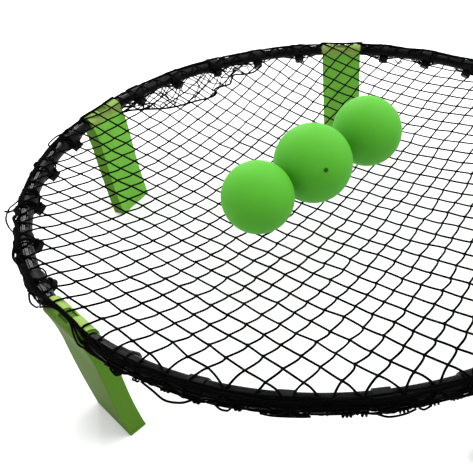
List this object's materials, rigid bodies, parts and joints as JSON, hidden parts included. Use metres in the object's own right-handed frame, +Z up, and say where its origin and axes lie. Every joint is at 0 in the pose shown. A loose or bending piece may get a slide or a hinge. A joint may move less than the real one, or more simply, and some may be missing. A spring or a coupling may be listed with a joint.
{
  "type": "roundnet set",
  "caption": "Low round game net on a tubular ring with folding legs, with loose inflated rubber balls resting on it.",
  "frame": {"origin": "on the ground, directly below the centre of the ring", "axes": "+Z up, +Y from the centre towards the first leg, +X completes a right-handed frame"},
  "size_m": [0.9416, 0.9416, 0.2735],
  "materials": {
    "rim_plastic": "gloss",
    "coupler_plastic": "satin",
    "leg_plastic": "satin",
    "clip_plastic": "matte",
    "net_cord": "matte",
    "ball_rubber": "matte",
    "valve_rubber": "matte"
  },
  "bodies": {
    "ring": {"rim_tube_1": "rim_plastic", "rim_tube_2": "rim_plastic", "rim_tube_3": "rim_plastic", "rim_tube_4": "rim_plastic", "rim_tube_5": "rim_plastic", "leg_coupler_1": "coupler_plastic", "leg_coupler_2": "coupler_plastic", "leg_coupler_3": "coupler_plastic", "leg_coupler_4": "coupler_plastic", "leg_coupler_5": "coupler_plastic", "net_clips_1": "clip_plastic", "net_clips_2": "clip_plastic", "net_clips_3": "clip_plastic", "net_clips_4": "clip_plastic", "net_clips_5": "clip_plastic", "net": "net_cord", "net_border_rope": "net_cord"},
    "leg_1_body": {"leg_1": "leg_plastic"},
    "leg_2_body": {"leg_2": "leg_plastic"},
    "leg_3_body": {"leg_3": "leg_plastic"},
    "leg_4_body": {"leg_4": "leg_plastic"},
    "leg_5_body": {"leg_5": "leg_plastic"},
    "ball_1_body": {"ball_1": "ball_rubber", "ball_valve_1": "valve_rubber"},
    "ball_2_body": {"ball_2": "ball_rubber", "ball_valve_2": "valve_rubber"},
    "ball_3_body": {"ball_3": "ball_rubber", "ball_valve_3": "valve_rubber"}
  },
  "joints": [
    {"name": "leg_fold_1", "type": "hinge", "parent": "ring", "child": "leg_1_body", "pos_m": [0, 0.4549, 0.2], "axis": [-1, 0, 0], "range_deg": [0, 55]},
    {"name": "leg_fold_2", "type": "hinge", "parent": "ring", "child": "leg_2_body", "pos_m": [-0.43263, 0.14057, 0.2], "axis": [-0.309, -0.9511, 0], "range_deg": [0, 55]},
    {"name": "leg_fold_3", "type": "hinge", "parent": "ring", "child": "leg_3_body", "pos_m": [-0.26738, -0.36802, 0.2], "axis": [0.809, -0.5878, 0], "range_deg": [0, 55]},
    {"name": "leg_fold_4", "type": "hinge", "parent": "ring", "child": "leg_4_body", "pos_m": [0.26738, -0.36802, 0.2], "axis": [0.809, 0.5878, 0], "range_deg": [0, 55]},
    {"name": "leg_fold_5", "type": "hinge", "parent": "ring", "child": "leg_5_body", "pos_m": [0.43263, 0.14057, 0.2], "axis": [-0.309, 0.9511, 0], "range_deg": [0, 55]},
    {"name": "ball_lift_1", "type": "slide", "parent": "ring", "child": "ball_1_body", "axis": [0, 0, 1], "range_m": [0, 0.3]},
    {"name": "ball_lift_2", "type": "slide", "parent": "ring", "child": "ball_2_body", "axis": [0, 0, 1], "range_m": [0, 0.3]},
    {"name": "ball_lift_3", "type": "slide", "parent": "ring", "child": "ball_3_body", "axis": [0, 0, 1], "range_m": [0, 0.3]}
  ]
}
